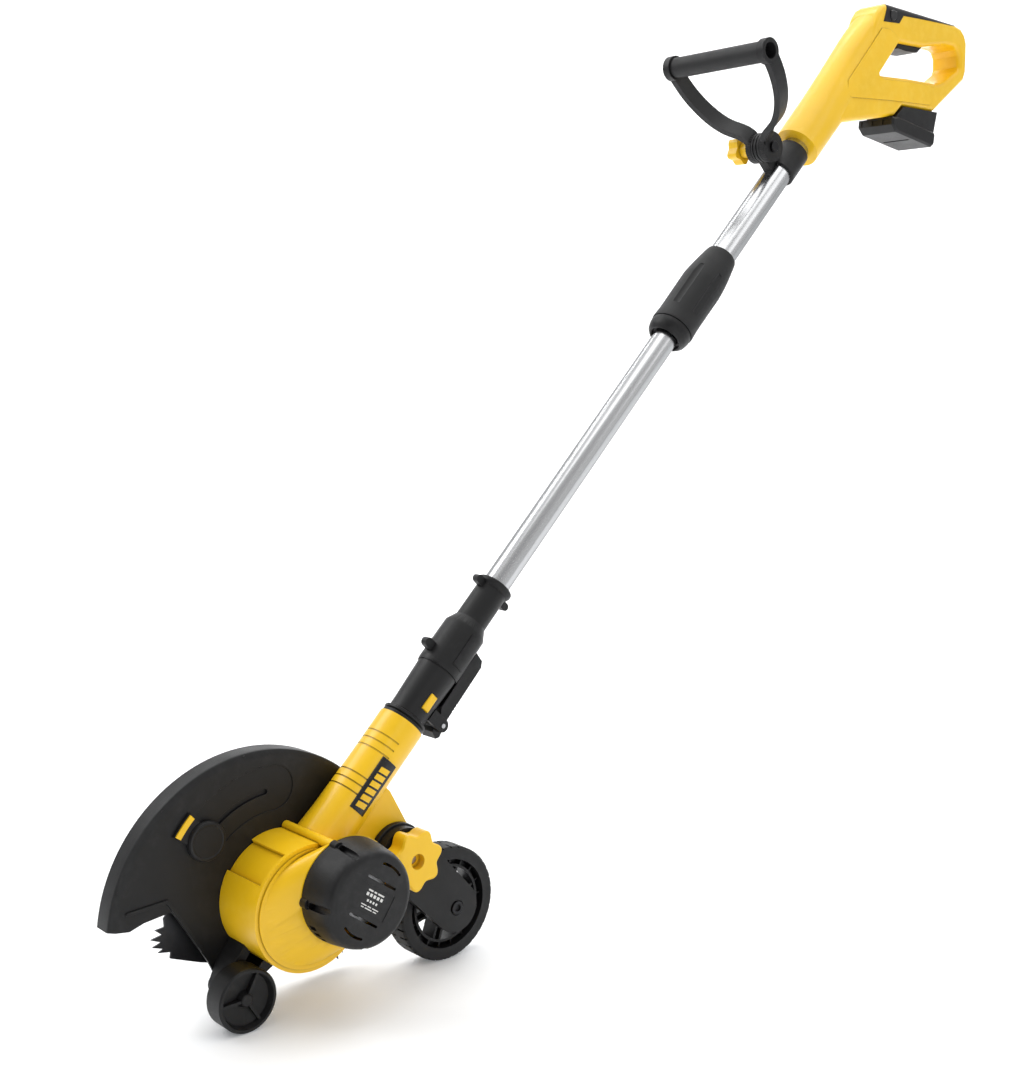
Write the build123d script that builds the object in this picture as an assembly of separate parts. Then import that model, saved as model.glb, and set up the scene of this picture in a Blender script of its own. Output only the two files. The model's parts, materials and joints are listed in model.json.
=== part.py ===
from build123d import *
import math
import os

os.makedirs("parts", exist_ok=True)

# ---------------------------------------------------------------------------
# Driving dimensions, mm.  X runs along the blade spindle towards the motor,
# Y runs back along the ground towards the user, Z is up.  The edger stands in
# its working pose on the front roller and the rear wheel, with the ground at 0.
# ---------------------------------------------------------------------------
SPINDLE = (57.5, 91.5)              # y, z of the blade spindle
GEAR_CENTRES = 28.5                 # spindle to motor shaft
GEAR_LINE = 30.0                    # direction of the motor from the spindle, degrees
MOTOR = (SPINDLE[0] + GEAR_CENTRES * math.cos(math.radians(GEAR_LINE)),
         SPINDLE[1] + GEAR_CENTRES * math.sin(math.radians(GEAR_LINE)))
GEAR_TEETH, PINION_TEETH, MODULE = 45, 12, 1.0

POLE_X, POLE_Z = -27.3, 41.63       # where the pole's axis meets y = 0
POLE_ANGLE = 45.54                  # pole above the ground, degrees

DRUM_R, DRUM_X0, DRUM_X1 = 53.7, -48.0, 7.0
SEAT_X, SEAT_R = 23.0, 45.5         # motor seat on the housing
BAY_R = 47.0                        # gear bay
GUARD_C, GUARD_R = (43.2, 76.0), 138.0
GUARD_BACK, GUARD_FACE = -69.0, -48.5
BLADE_X, BLADE_R, BLADE_THICK = -62.0, 111.0, 2.0
BLADE_TIP = -167.0                  # direction of the first tip, degrees

ROLLER, ROLLER_R, ROLLER_X0, ROLLER_X1 = (0.0, 26.6), 26.6, -20.0, 1.7
WHEEL, WHEEL_R, WHEEL_X0, WHEEL_X1 = (213.4, 51.7), 51.7, -34.4, -10.4
ARM_PIVOT = (156.0, 112.0)          # depth bolt
ARM_X0, ARM_X1 = -6.0, 2.5
WEB_X0, WEB_X1 = -42.0, -12.3       # housing web that carries the collar

NECK_TOP, NECK_R = 250.7, 21.35     # along the pole
LOWER_TUBE_R, UPPER_TUBE_R, TUBE_WALL = 12.5, 14.0, 1.2
LOWER_T0, LOWER_T1 = 264.0, 900.0
UPPER_T0, UPPER_T1 = 745.0, 1095.0

AUX_T, AUX_N = 961.0, 34.0          # pivot of the D handle, along and above the pole
AUX_REACH = 107.0                   # pivot to grip
HANDLE_HALF = 20.0                  # half the width of the rear handle
HANDLE_ROUND = 6.0
WALL = 2.6
PACK_TILT = 8.9                     # battery slide below the horizontal, degrees
PACK = (842.5, 783.3)               # front lower edge of the battery, y and z
PACK_W, PACK_L, PACK_H = 47.7, 75.7, 17.0
CONTACTS = (-6.0, 0.0, 6.0)         # contact blades across the battery rail

SHIFT = (17.05, -443.66, 0.0)          # puts the origin at the bottom centre of the whole edger
BOTTOM = (Align.CENTER, Align.CENTER, Align.MIN)


# ---------------------------------------------------------------------------
# Small helpers
# ---------------------------------------------------------------------------
def save(name, *solids):
    shape = solids[0] if len(solids) == 1 else Compound(list(solids))
    export_step(shape.moved(Location(SHIFT)), f"parts/{name}.step")


def one(shape):
    """The largest solid of a boolean result."""
    return max(shape.solids(), key=lambda s: s.volume)


def polar(centre, radius, degrees):
    a = math.radians(degrees)
    return (centre[0] + radius * math.cos(a), centre[1] + radius * math.sin(a))


def side(x=0.0):
    """A plane that looks along the spindle: its axes are Y and Z."""
    return Plane(origin=(x, 0, 0), x_dir=(0, 1, 0), z_dir=(1, 0, 0))


def prism(points, x0, x1):
    face = side(x0) * make_face(Polyline(*points, close=True))
    return extrude(face, amount=x1 - x0, dir=(1, 0, 0))


def rod(radius, x0, x1, centre):
    """A cylinder along X."""
    return side(x0) * Pos(centre[0], centre[1]) * Cylinder(radius, x1 - x0, align=BOTTOM)


def tube(outer, inner, x0, x1, centre):
    return rod(outer, x0, x1, centre) - rod(inner, x0 - 1, x1 + 1, centre)


def spun(points, centre):
    """A body turned about X from (x, radius) points."""
    plane = Plane(origin=(0, centre[0], centre[1]), x_dir=(1, 0, 0), z_dir=(0, -1, 0))
    face = plane * make_face(Polyline(*points, close=True))
    return revolve(face, Axis((0, centre[0], centre[1]), (1, 0, 0)), 360)


POLE = Plane(origin=(POLE_X, 0, POLE_Z), x_dir=(1, 0, 0),
             z_dir=(0, math.cos(math.radians(POLE_ANGLE)), math.sin(math.radians(POLE_ANGLE))))


def on_pole(t, n):
    """Y and Z of a point t along the pole and n above its axis."""
    a = math.radians(POLE_ANGLE)
    return (t * math.cos(a) - n * math.sin(a), POLE_Z + t * math.sin(a) + n * math.cos(a))


def pole_rod(radius, t0, t1):
    return POLE * Pos(0, 0, t0) * Cylinder(radius, t1 - t0, align=BOTTOM)


def pole_spun(points):
    """A body turned about the pole from (radius, t) points."""
    face = Plane(origin=POLE.origin, x_dir=(1, 0, 0), z_dir=-POLE.y_dir) * make_face(
        Polyline(*points, close=True))
    return revolve(face, Axis(POLE.origin, POLE.z_dir), 360)


def pole_box(x0, x1, n0, n1, t0, t1):
    """A box square to the pole; x is measured from the pole's axis."""
    low = (x0, -n1, t0)
    return POLE * Pos(*low) * Box(x1 - x0, n1 - n0, t1 - t0, align=(Align.MIN,) * 3)


def arc_points(centre, radius, a0, a1, steps=24):
    return [polar(centre, radius, a0 + (a1 - a0) * i / steps) for i in range(steps + 1)]


def inset(points, distance):
    """An outline moved in by a distance, with mitred corners; below 0 it moves out."""
    following = points[1:] + points[:1]
    area = sum(a[0] * b[1] - b[0] * a[1] for a, b in zip(points, following))
    turn = 1 if area > 0 else -1
    moved = []
    for before, here, after in zip(points[-1:] + points[:-1], points, following):
        normals = []
        for a, b in ((before, here), (here, after)):
            length = math.dist(a, b)
            normals.append((-turn * (b[1] - a[1]) / length, turn * (b[0] - a[0]) / length))
        (ny, nz), (my, mz) = normals
        reach = distance / (1 + ny * my + nz * mz)
        moved.append((here[0] + reach * (ny + my), here[1] + reach * (nz + mz)))
    return moved


def sector(centre, r0, r1, a0, a1, x0, x1):
    """Part of a ring about X, between two radii and two angles."""
    outer = arc_points(centre, r1, a0, a1)
    inner = arc_points(centre, r0, a1, a0)
    return prism(outer + inner, x0, x1)


def slot_ring(centre, radius, width, a0, a1, x0, x1):
    """A curved slot with round ends."""
    body = sector(centre, radius - width / 2, radius + width / 2, a0, a1, x0, x1)
    for a in (a0, a1):
        body += rod(width / 2, x0, x1, polar(centre, radius, a))
    return body


def capsule(a, b, ra, rb, x0, x1):
    """A flat link between two round ends."""
    d = math.dist(a, b)
    turn = math.degrees(math.atan2(b[1] - a[1], b[0] - a[0]))
    lean = math.degrees(math.acos((ra - rb) / d))
    points = arc_points(a, ra, turn + lean, turn + 360 - lean) + arc_points(
        b, rb, turn - lean, turn + lean)
    return prism(points, x0, x1)


def lobed(centre, crest, valley, lobes, x0, x1, phase=0.0):
    """A star knob's outline: soft crests and valleys."""
    mid, swing = (crest + valley) / 2, (crest - valley) / 2
    count = lobes * 12
    points = []
    for i in range(count):
        a = 360 * i / count
        points.append(polar(centre, mid + swing * math.cos(math.radians(lobes * a)), a + phase))
    wire = Spline(*points, periodic=True)
    return extrude(side(x0) * make_face(wire), amount=x1 - x0, dir=(1, 0, 0))


def screw_x(radius, head_r, x0, x1, centre, head=2.4):
    """A pan-head screw along X with its head at x1 and a cross recess."""
    body = rod(radius, x0, x1, centre) + rod(head_r, x1, x1 + head, centre)
    for dy, dz in ((head_r * 1.2, 0.9), (0.9, head_r * 1.2)):
        body -= side(x1 + head - 1.0) * Pos(*centre) * Box(dy, dz, 2.0, align=BOTTOM)
    return body


def gear(teeth, module, centre, first_tooth, x0, x1, bore, play=0.34):
    """An involute spur gear; first_tooth is the direction of one tooth, degrees."""
    pitch = module * teeth / 2
    base = pitch * math.cos(math.radians(20))
    tip, root = pitch + 0.85 * module, pitch - 1.2 * module
    half = (math.pi * module / 2 - play) / 2 / pitch

    def involute(r):
        return math.sqrt(max((r / base) ** 2 - 1, 0)) - math.acos(min(base / r, 1))

    start = max(base, root)
    flank = []
    for k in range(5):
        r = start + (tip - start) * k / 4
        flank.append((r, math.degrees(half + involute(pitch) - involute(r))))
    points = []
    for i in range(teeth):
        mid = first_tooth + 360 * i / teeth
        points.append(polar(centre, root, mid - flank[0][1]))
        points += [polar(centre, r, mid - a) for r, a in flank if r > root]
        points += [polar(centre, r, mid + a) for r, a in reversed(flank) if r > root]
        points.append(polar(centre, root, mid + flank[0][1]))
    return prism(points, x0, x1) - rod(bore, x0 - 1, x1 + 1, centre)


# ---------------------------------------------------------------------------
# Head: gear housing, covers, motor
# ---------------------------------------------------------------------------
EARS = (108.0, 180.0, 262.0, 350.0)     # directions of the motor cover's screws
EAR_R = 42.0
COVER_SCREWS, COVER_SCREW_R = (20.0, 110.0, 200.0, 290.0), 42.4


def housing_outer():
    seat = side(SEAT_X) * Pos(*MOTOR) * Circle(SEAT_R)
    shoulder = side(DRUM_X1 + 1.4) * Pos(*SPINDLE) * Circle(DRUM_R - 6.6)
    body = rod(DRUM_R, DRUM_X0, DRUM_X1, SPINDLE) + loft([shoulder, seat])
    body += rod(DRUM_R - 3.6, DRUM_X1 - 0.5, DRUM_X1 + 1.6, SPINDLE)
    # hand relief between the two raised blocks on the front of the drum
    body -= sector(SPINDLE, 50.4, 70, 114, 148, DRUM_X0 - 1, 3.0)
    neck = pole_spun([(0, 90), (26.0, 90), (22.4, 150), (NECK_R, 200), (NECK_R, NECK_TOP), (0, NECK_TOP)])
    web = prism([(104, 96), (135, 92), polar(ARM_PIVOT, 27, -90), polar(ARM_PIVOT, 27, -45),
                 polar(ARM_PIVOT, 27, 0), polar(ARM_PIVOT, 27, 30), polar(ARM_PIVOT, 27, 60),
                 on_pole(196, -20.5), on_pole(196, 0), on_pole(120, 0)], WEB_X0, WEB_X1)
    boss = rod(27.0, WEB_X0, WEB_X1, ARM_PIVOT)
    body = body + neck + web + boss
    body += rod(4.2, DRUM_X0, SEAT_X, polar(MOTOR, EAR_R, EARS[0]))
    for a in EARS[1:]:
        body += rod(4.6, 9.0, SEAT_X, polar(MOTOR, EAR_R, a))
    # grip ribs on the front of the neck, in two sets of three
    for t in (213.5, 221.0, 228.5, 173.0, 180.5, 188.0):
        groove = pole_rod(NECK_R + 3, t, t + 1.4) - pole_rod(NECK_R - 0.7, t - 1, t + 3)
        body -= groove & pole_box(-16, 30, 4.5, 30, t - 2, t + 4)
    # flat on the guard side
    return body - rod(260, DRUM_X0 - 20, DRUM_X0, SPINDLE)


def gear_housing():
    body = housing_outer()
    body -= rod(BAY_R, DRUM_X0 - 1, -12.0, SPINDLE)
    body -= rod(22.4, -8.0, SEAT_X + 1, MOTOR)
    body -= tube(38.6, 25.4, 9.0, SEAT_X + 1, MOTOR) & rod(46, 5, SEAT_X + 1, MOTOR)
    body -= rod(6.5, -13.0, -7.0, MOTOR)
    body -= pole_rod(15.0, 112, NECK_TOP + 1)
    body -= pole_rod(17.2, 226, NECK_TOP + 1)
    body -= rod(4.05, WEB_X0 - 1, WEB_X1 + 1, ARM_PIVOT)
    # seat for the motor-side spindle bearing
    body += rod(12.5, -12.5, -8.0, SPINDLE) - rod(9.6, -20, 0, SPINDLE)
    body -= rod(9.5, -16.0, -11.0, SPINDLE)
    for a in EARS:
        body -= rod(1.45, 10.0, SEAT_X + 1, polar(MOTOR, EAR_R, a))
    for a in COVER_SCREWS:
        post = polar(SPINDLE, COVER_SCREW_R, a)
        body += rod(5.0, -44.5, -11.0, post) - rod(1.45, -44.6, -30.0, post)
    # pocket for the label plate
    body -= label_plate()
    return one(body)


def gear_cover():
    """Plate that closes the gear bay and holds the blade-side bearing."""
    body = rod(BAY_R - 0.1, -48.0, -44.5, SPINDLE) + rod(17.0, -44.6, -34.0, SPINDLE)
    body -= rod(13.0, -46.0, -33.0, SPINDLE)
    body -= rod(7.0, -49.0, -45.0, SPINDLE)
    for a in COVER_SCREWS:
        c = polar(SPINDLE, COVER_SCREW_R, a)
        body -= rod(1.7, -49.0, -44.0, c) + rod(3.2, -49.0, -46.4, c)
    for a in GUARD_SCREWS:
        body -= rod(1.45, -49.0, -43.0, polar(SPINDLE, GUARD_SCREW_R, a))
        body += (rod(3.6, -44.6, -38.0, polar(SPINDLE, GUARD_SCREW_R, a))
                 - rod(1.45, -45.0, -39.0, polar(SPINDLE, GUARD_SCREW_R, a)))
    return one(body)


def back_screws(angles, radius, head_x, depth=9.0):
    """Screws whose heads face the blade."""
    made = []
    for a in angles:
        c = polar(SPINDLE, radius, a)
        body = rod(1.4, head_x, head_x + depth, c) + rod(2.8, head_x - 1.6, head_x, c)
        body -= side(head_x - 2.6) * Pos(*c) * Box(3.6, 0.8, 1.8, align=BOTTOM)
        made.append(body)
    return made


def motor_cover():
    # (x, radius) of the outside, from the housing to the end cap
    outer = [(23.0, 44.6), (31.0, 44.3), (48.0, 42.0), (54.0, 40.2), (57.0, 37.6), (58.2, 34.0)]
    body = spun([(23.0, 0)] + outer + [(58.8, 0)], MOTOR)
    inner = [(22.0, 41.8), (30.0, 41.5), (47.0, 39.4), (53.0, 37.6), (55.6, 34.0)]
    hollow = spun([(22.0, 0)] + inner + [(56.0, 0)], MOTOR)
    solid = body
    body = solid - hollow
    for a in EARS:
        c = polar(MOTOR, EAR_R, a)
        body += rod(5.6, 24.0, 57.0, c) & solid
        body += rod(4.8, 23.0, 31.0, c)
        body -= rod(3.3, 31.0, 60.0, c) + rod(1.7, 22.0, 32.0, c)
    # air slots: two straight and two curved on the end, windows beside the seat
    lean = math.radians(-35)
    for off in (-16.5, 16.5):
        mid = (MOTOR[0] - off * math.sin(lean), MOTOR[1] + off * math.cos(lean))
        a = (mid[0] - 15 * math.cos(lean), mid[1] - 15 * math.sin(lean))
        b = (mid[0] + 15 * math.cos(lean), mid[1] + 15 * math.sin(lean))
        body -= capsule(a, b, 1.15, 1.1, 52.0, 60.0)
    for a0, a1 in ((30, 68), (210, 248)):
        body -= slot_ring(MOTOR, 31.0, 2.2, a0, a1, 50.0, 60.0)
    for a in (205, 215, 225):
        body -= sector(MOTOR, 36, 50, a, a + 6, 27.0, 34.0)
    return one(body - cap_panel())


def cap_panel():
    """Blank rectangle that is let into the end of the motor cover."""
    lean = math.radians(-35)
    half_l, half_w = 19.0, 11.0
    corner = []
    for u, v in ((-1, -1), (1, -1), (1, 1), (-1, 1)):
        corner.append((MOTOR[0] + u * half_l * math.cos(lean) - v * half_w * math.sin(lean),
                       MOTOR[1] + u * half_l * math.sin(lean) + v * half_w * math.cos(lean)))
    return prism(corner, 58.0, 60.0)


def motor_cover_screws():
    return [screw_x(1.4, 2.9, 12.0, 31.0, polar(MOTOR, EAR_R, a)) for a in EARS]


def motor_can():
    body = spun([(-8.0, 0), (-8.0, 20.0), (-6.5, 22.0), (46.0, 22.0), (47.5, 20.5), (47.5, 0)], MOTOR)
    body += rod(6.2, -11.5, -7.9, MOTOR) + rod(7.0, 47.4, 50.0, MOTOR)
    body -= rod(18.4, -6.0, 45.5, MOTOR)
    body -= rod(2.56, -12.0, 51.0, MOTOR)
    for a in (45, 225):
        body -= sector(MOTOR, 9, 16, a - 22, a + 22, 44.0, 49.0)
    return body


def rotor():
    """Motor shaft with the armature and the commutator on it."""
    body = rod(2.5, -33.0, 52.0, MOTOR)
    core = rod(16.5, -1.0, 30.0, MOTOR)
    for i in range(5):
        core -= rod(3.6, -2.0, 31.0, polar(MOTOR, 13.6, 72 * i + 20))
        core -= sector(MOTOR, 13.0, 18.0, 72 * i + 18, 72 * i + 22, -2.0, 31.0)
    return one(body + core + rod(6.0, 30.0, 40.0, MOTOR))


def pinion():
    return gear(PINION_TEETH, MODULE, MOTOR, GEAR_LINE + 180, -31.5, -18.5, 2.5)


def spur_gear():
    body = gear(GEAR_TEETH, MODULE, SPINDLE, GEAR_LINE + 180 / GEAR_TEETH, -30.0, -20.0, 5.0)
    for i in range(6):
        body -= rod(3.6, -31.0, -19.0, polar(SPINDLE, 13.5, 60 * i))
    return body


def spindle():
    body = rod(5.0, -72.0, -15.4, SPINDLE) + rod(6.9, -33.8, -30.0, SPINDLE)
    return body + rod(4.0, -15.5, -11.2, SPINDLE)


def spindle_bearings():
    near = tube(9.5, 4.06, -15.0, -11.0, SPINDLE)
    far = tube(13.0, 5.06, -45.0, -36.0, SPINDLE)
    for x in (-45.0, -36.9):
        far -= tube(10.8, 7.4, x, x + 0.9, SPINDLE)
    return [far, near]


def label_plate():
    """Blank dark plate on the side of the neck."""
    ring = pole_rod(NECK_R + 1.3, 162, 213) - pole_rod(NECK_R - 0.6, 160, 220)
    return one(ring & pole_box(10, 30, -6.5, 10.0, 162, 213))


def swivel_collar():
    """Bearing of the swivel: fixed in the neck, two rings stand above it."""
    return pole_spun([(13.56, 227), (17.2, 227), (17.2, NECK_TOP), (20.4, NECK_TOP), (20.4, 253.2),
                      (19.0, 253.6), (19.0, 254.6), (20.7, 255.0), (20.7, 257.4), (18.2, 258.2),
                      (13.56, 258.2)])


# ---------------------------------------------------------------------------
# Guard, guide, blade
# ---------------------------------------------------------------------------
GUARD_SCREWS, GUARD_SCREW_R = (0.0, 60.0, 120.0, 180.0, 240.0, 300.0), 28.0
# below this line the guard is cut away
GUARD_CUT = [(-260, 93.5), (-110.0, 93.5), (-96.5, 92.0), (-76.2, 89.0), (-63.8, 93.0), (-39.0, 96.2),
             (-8.0, 46.7), (0.0, 30.0), (3.0, 17.0), (12.0, 15.0), (45.0, 29.0), (80.0, 50.0),
             (116.0, 72.0), (260, 72), (260, -200), (-260, -200)]
BEAD = [(-78.0, 103.9), (-43.2, 106.3), (-13.0, 57.5)]
SLIDER_R, SLIDER_AT = 87.0, 138.6   # guide pad: distance from the spindle, direction


def guard():
    r = GUARD_R
    body = spun([(GUARD_BACK, 0), (GUARD_BACK, r), (-53.0, r), (-51.5, r - 0.6), (GUARD_FACE, r - 6.0),
                 (GUARD_FACE, 0)], GUARD_C)
    body -= spun([(GUARD_BACK - 1, 0), (GUARD_BACK - 1, r - 2.3), (-54.0, r - 2.3), (-51.2, r - 7.0),
                  (-51.2, 0)], GUARD_C)
    body -= prism(GUARD_CUT, GUARD_BACK - 2, GUARD_FACE + 2)
    # shallow curved field the guide moves over, and its slot
    field = sector(SPINDLE, 69.5, 108.5, 90, 132, GUARD_FACE - 0.9, GUARD_FACE + 1)
    field += rod(19.5, GUARD_FACE - 0.9, GUARD_FACE + 1, polar(SPINDLE, 89.0, 90))
    for a in (97.0, 104.0, 111.0, 118.0, 125.0):
        field += rod(1.7, GUARD_FACE - 0.9, GUARD_FACE + 1, polar(SPINDLE, 108.6, a))
    body -= field
    body -= slot_ring(SPINDLE, SLIDER_R, 5.0, 95.0, 142.0, -53.0, -47.0)
    # stiffening bead along the lower front edge
    for a, b in zip(BEAD, BEAD[1:]):
        body += capsule(a, b, 1.35, 1.3, GUARD_FACE - 0.5, GUARD_FACE + 1.6)
    # opening for the spindle and the flange, screw holes into the gear cover
    body -= rod(19.0, -53.0, -47.0, SPINDLE)
    for a in GUARD_SCREWS:
        body -= rod(1.7, -53.0, -47.0, polar(SPINDLE, GUARD_SCREW_R, a))
    # ribs inside the skirt
    for a in (25, 60, 95, 130, 160):
        c = polar(GUARD_C, r - 1.6, a)
        rib = prism([polar(c, 1.0, a + 90), polar(polar(GUARD_C, r - 9, a), 1.0, a + 90),
                     polar(polar(GUARD_C, r - 9, a), 1.0, a - 90), polar(c, 1.0, a - 90)], -58.5, -50.0)
        body += rib
    return one(body)


def guide_slider():
    c = polar(SPINDLE, SLIDER_R, SLIDER_AT)
    body = spun([(-48.1, 0), (-48.1, 16.5), (-44.6, 17.0), (-42.6, 16.0), (-42.2, 14.0), (-42.8, 13.2),
                 (-42.8, 0)], c)
    # arm that carries the marker out towards the rim
    body += sector(SPINDLE, 96, 115.5, 133.6, 144.9, -48.1, -45.6)
    body += rod(2.2, -54.0, -48.0, c) + rod(5.2, -53.6, -51.7, c)
    # strip behind the guard that keeps dirt out of the slot
    body += sector(SPINDLE, SLIDER_R - 5.5, SLIDER_R + 5.5, 92.5, 143.5, -53.2, -51.7)
    return one(body - guide_marker())


def guide_marker():
    return sector(SPINDLE, 109.4, 114.6, 134.0, 144.5, -46.6, -44.2)


def blade():
    """Three-sided plate with saw-toothed tips."""
    points = []
    flat = BLADE_R - 5.0                    # where a tip's straight end starts
    for k in range(3):
        tip = BLADE_TIP + 120 * k
        a = math.radians(tip)
        ux, uy = math.cos(a), math.sin(a)
        # along the tip (out) and across it, clockwise to anticlockwise
        outline = [(75.0, -34.0), (flat - 10, -17.5), (flat - 9, -10.5), (flat - 0.5, -11.5),
                   (flat - 5.5, -5.0), (BLADE_R, -5.5), (flat - 3.5, 0.8), (BLADE_R, 1.4),
                   (flat - 4.0, 7.0), (flat + 1.5, 8.0), (flat - 9, 12.5), (flat - 7, 17.5), (75.0, 34.0)]
        points += [(SPINDLE[0] + u * ux - v * uy, SPINDLE[1] + u * uy + v * ux) for u, v in outline]
    x0 = BLADE_X - BLADE_THICK / 2
    body = prism(points, x0, x0 + BLADE_THICK) - rod(5.0, x0 - 1, x0 + 5, SPINDLE)
    for k in range(3):
        body -= rod(9.0, x0 - 1, x0 + 5, polar(SPINDLE, 40.0, BLADE_TIP + 60 + 120 * k))
    return body


def blade_flanges():
    inner = rod(15.0, BLADE_X + 1.0, -57.0, SPINDLE) + rod(6.4, -57.1, -45.1, SPINDLE)
    inner -= rod(5.0, -70, -40, SPINDLE)
    return [inner, tube(15.0, 5.0, BLADE_X - 4.0, BLADE_X - 1.0, SPINDLE)]


def blade_nut():
    hexagon = side(-71.0) * Pos(*SPINDLE) * RegularPolygon(8.5, 6)
    return extrude(hexagon, amount=5.0, dir=(1, 0, 0)) - rod(5.0, -80, -60, SPINDLE)


# ---------------------------------------------------------------------------
# Roller and rear wheel
# ---------------------------------------------------------------------------
def roller():
    x0, x1, r = ROLLER_X0, ROLLER_X1, ROLLER_R
    body = spun([(x0, 0), (x0, 8.0), (x0 + 3, 9.0), (x0 + 3, r - 4.5), (x0, r - 4.0), (x0, r - 1.2),
                 (x0 + 1.2, r), (x1 - 1.2, r), (x1, r - 1.2), (x1, r - 3.2), (x1 - 5.5, r - 5.2),
                 (x1 - 7.5, 7.0), (x1 - 2.0, 5.2), (x1 - 1.2, 4.2), (x1 - 1.0, 0)], ROLLER)
    for i in range(3):
        a = 62 + 120 * i
        rib = prism([polar(polar(ROLLER, 4.6, a), 1.2, a + 90), polar(polar(ROLLER, r - 3, a), 1.2, a + 90),
                     polar(polar(ROLLER, r - 3, a), 1.2, a - 90), polar(polar(ROLLER, 4.6, a), 1.2, a - 90)],
                    x1 - 8.0, x1 - 2.6)
        body += rib
    return one(body - rod(4.05, x0 - 1, x1 - 3.4, ROLLER))


def roller_axle():
    """Plain pin pressed into the bracket."""
    return rod(4.0, -47.4, ROLLER_X1 - 3.8, ROLLER)


def roller_bracket():
    arm = prism([polar(ROLLER, 9, 140), (-2.0, 44.0), (14.0, 66.0), (40.0, 50.0), (38.0, 38.0),
                 polar(ROLLER, 9, -40)], -47.6, -23.0)
    body = arm + rod(9.0, -47.6, -21.0, ROLLER)
    body -= rod(DRUM_R + 0.02, -60, 20, SPINDLE)
    body -= rod(4.0, -60, 0, ROLLER)
    body -= prism([(9, 44), (17, 56), (30, 46), (22, 38)], -44.0, -20.0)
    return one(body)


def wheel_rim():
    x0, x1 = WHEEL_X0, WHEEL_X1
    body = tube(44.0, 40.4, x0, x1, WHEEL)
    body += tube(40.5, 33.0, x0 + 9.0, x0 + 13.0, WHEEL)
    body += tube(35.4, 33.0, x0 + 3.0, x1 - 3.0, WHEEL)
    body += rod(11.0, x0 + 1.0, x1 - 0.6, WHEEL)
    for i in range(6):
        a = 60 * i + 12
        for off in (-3.4, 3.4):
            p, q = polar(polar(WHEEL, 9.0, a), off, a + 90), polar(polar(WHEEL, 34.0, a), off, a + 90)
            body += prism([polar(p, 1.2, a + 90), polar(q, 1.2, a + 90), polar(q, 1.2, a - 90),
                           polar(p, 1.2, a - 90)], x0 + 4.0, x1 - 4.0)
        p, q = polar(WHEEL, 9.0, a), polar(WHEEL, 34.0, a)
        body += prism([polar(p, 4.0, a + 90), polar(q, 4.0, a + 90), polar(q, 4.0, a - 90),
                       polar(p, 4.0, a - 90)], x0 + 9.5, x0 + 12.5)
    for i in range(18):
        a = 20 * i
        p, q = polar(WHEEL, 34.5, a), polar(WHEEL, 41.0, a)
        body += prism([polar(p, 0.8, a + 90), polar(q, 0.8, a + 90), polar(q, 0.8, a - 90),
                       polar(p, 0.8, a - 90)], x0 + 6.0, x1 - 5.0)
    return one(body - rod(4.05, x0 - 1, x1 + 1, WHEEL))


def wheel_tread():
    x0, x1, r = WHEEL_X0, WHEEL_X1, WHEEL_R
    body = spun([(x0, 44.0), (x0, r - 2.0), (x0 + 1.6, r), (x1 - 1.6, r), (x1, r - 2.0), (x1, 44.0)], WHEEL)
    count = 36
    for i in range(count):
        a = 360 / count * (i + 0.5) - 90
        half = 0.9 / r * 57.3
        body -= sector(WHEEL, r - 1.5, r + 2, a - half, a + half, x0 - 1, x0 + 9.0)
        body -= sector(WHEEL, r - 1.5, r + 2, a - half, a + half, x1 - 9.0, x1 + 1)
    return one(body)


def wheel_arm():
    body = capsule(ARM_PIVOT, WHEEL, 24.8, 22.5, ARM_X0, ARM_X1)
    body += rod(25.0, ARM_X0, ARM_X1 + 1.0, ARM_PIVOT)
    body -= capsule(ARM_PIVOT, WHEEL, 21.0, 18.5, ARM_X0 - 1, ARM_X0 + 3.5)
    body += rod(9.0, ARM_X0, ARM_X1, WHEEL) + rod(12.0, ARM_X0, ARM_X1, ARM_PIVOT)
    body += rod(24.8, ARM_X0, ARM_X0 + 4, ARM_PIVOT) - rod(21.0, ARM_X0 - 1, ARM_X0 + 5, ARM_PIVOT)
    body -= rod(4.0, ARM_X0 - 5, ARM_X1 + 1, WHEEL)
    body -= rod(7.0, ARM_X1 - 1.5, ARM_X1 + 2, WHEEL)
    body -= rod(4.05, ARM_X0 - 5, ARM_X1 + 5, ARM_PIVOT)
    return one(body)


def wheel_axle():
    body = rod(4.0, WHEEL_X0 - 2.6, ARM_X1 - 1.4, WHEEL) + rod(6.0, ARM_X1 - 1.5, ARM_X1 + 1.2, WHEEL)
    body -= rod(3.2, ARM_X1 - 0.8, ARM_X1 + 2, WHEEL)
    return body + rod(7.0, WHEEL_X0 - 3.4, WHEEL_X0 - 0.4, WHEEL) + rod(6.5, WHEEL_X1 + 0.4, ARM_X0, WHEEL)


def wheel_collar():
    body = tube(27.0, 4.05, WEB_X1, ARM_X0 - 0.3, ARM_PIVOT)
    return body - tube(23.0, 14.0, WEB_X1 + 2, WEB_X1 + 4, ARM_PIVOT)


def depth_bolt():
    body = rod(3.95, WEB_X0, 13.0, ARM_PIVOT)
    return body + spun([(WEB_X0 - 4.2, 0), (WEB_X0 - 3.4, 5.0), (WEB_X0, 9.0), (WEB_X0, 0)], ARM_PIVOT)


def star_knob():
    x0, x1 = ARM_X1 + 1.4, 21.5
    body = lobed(ARM_PIVOT, 27.0, 21.8, 7, x0 + 2.0, x1, 12.0)
    body = chamfer(body.edges().group_by(Axis.X)[-1], 1.4)
    body += rod(13.0, x0, x0 + 2.5, ARM_PIVOT)
    body -= rod(6.8, 14.0, x1 + 1, ARM_PIVOT) + rod(4.0, x0 - 1, 15.0, ARM_PIVOT)
    return one(body)


# ---------------------------------------------------------------------------
# Coupler between head and pole
# ---------------------------------------------------------------------------
LEVER_T, LEVER_N = 271.5, -30.0


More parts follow.
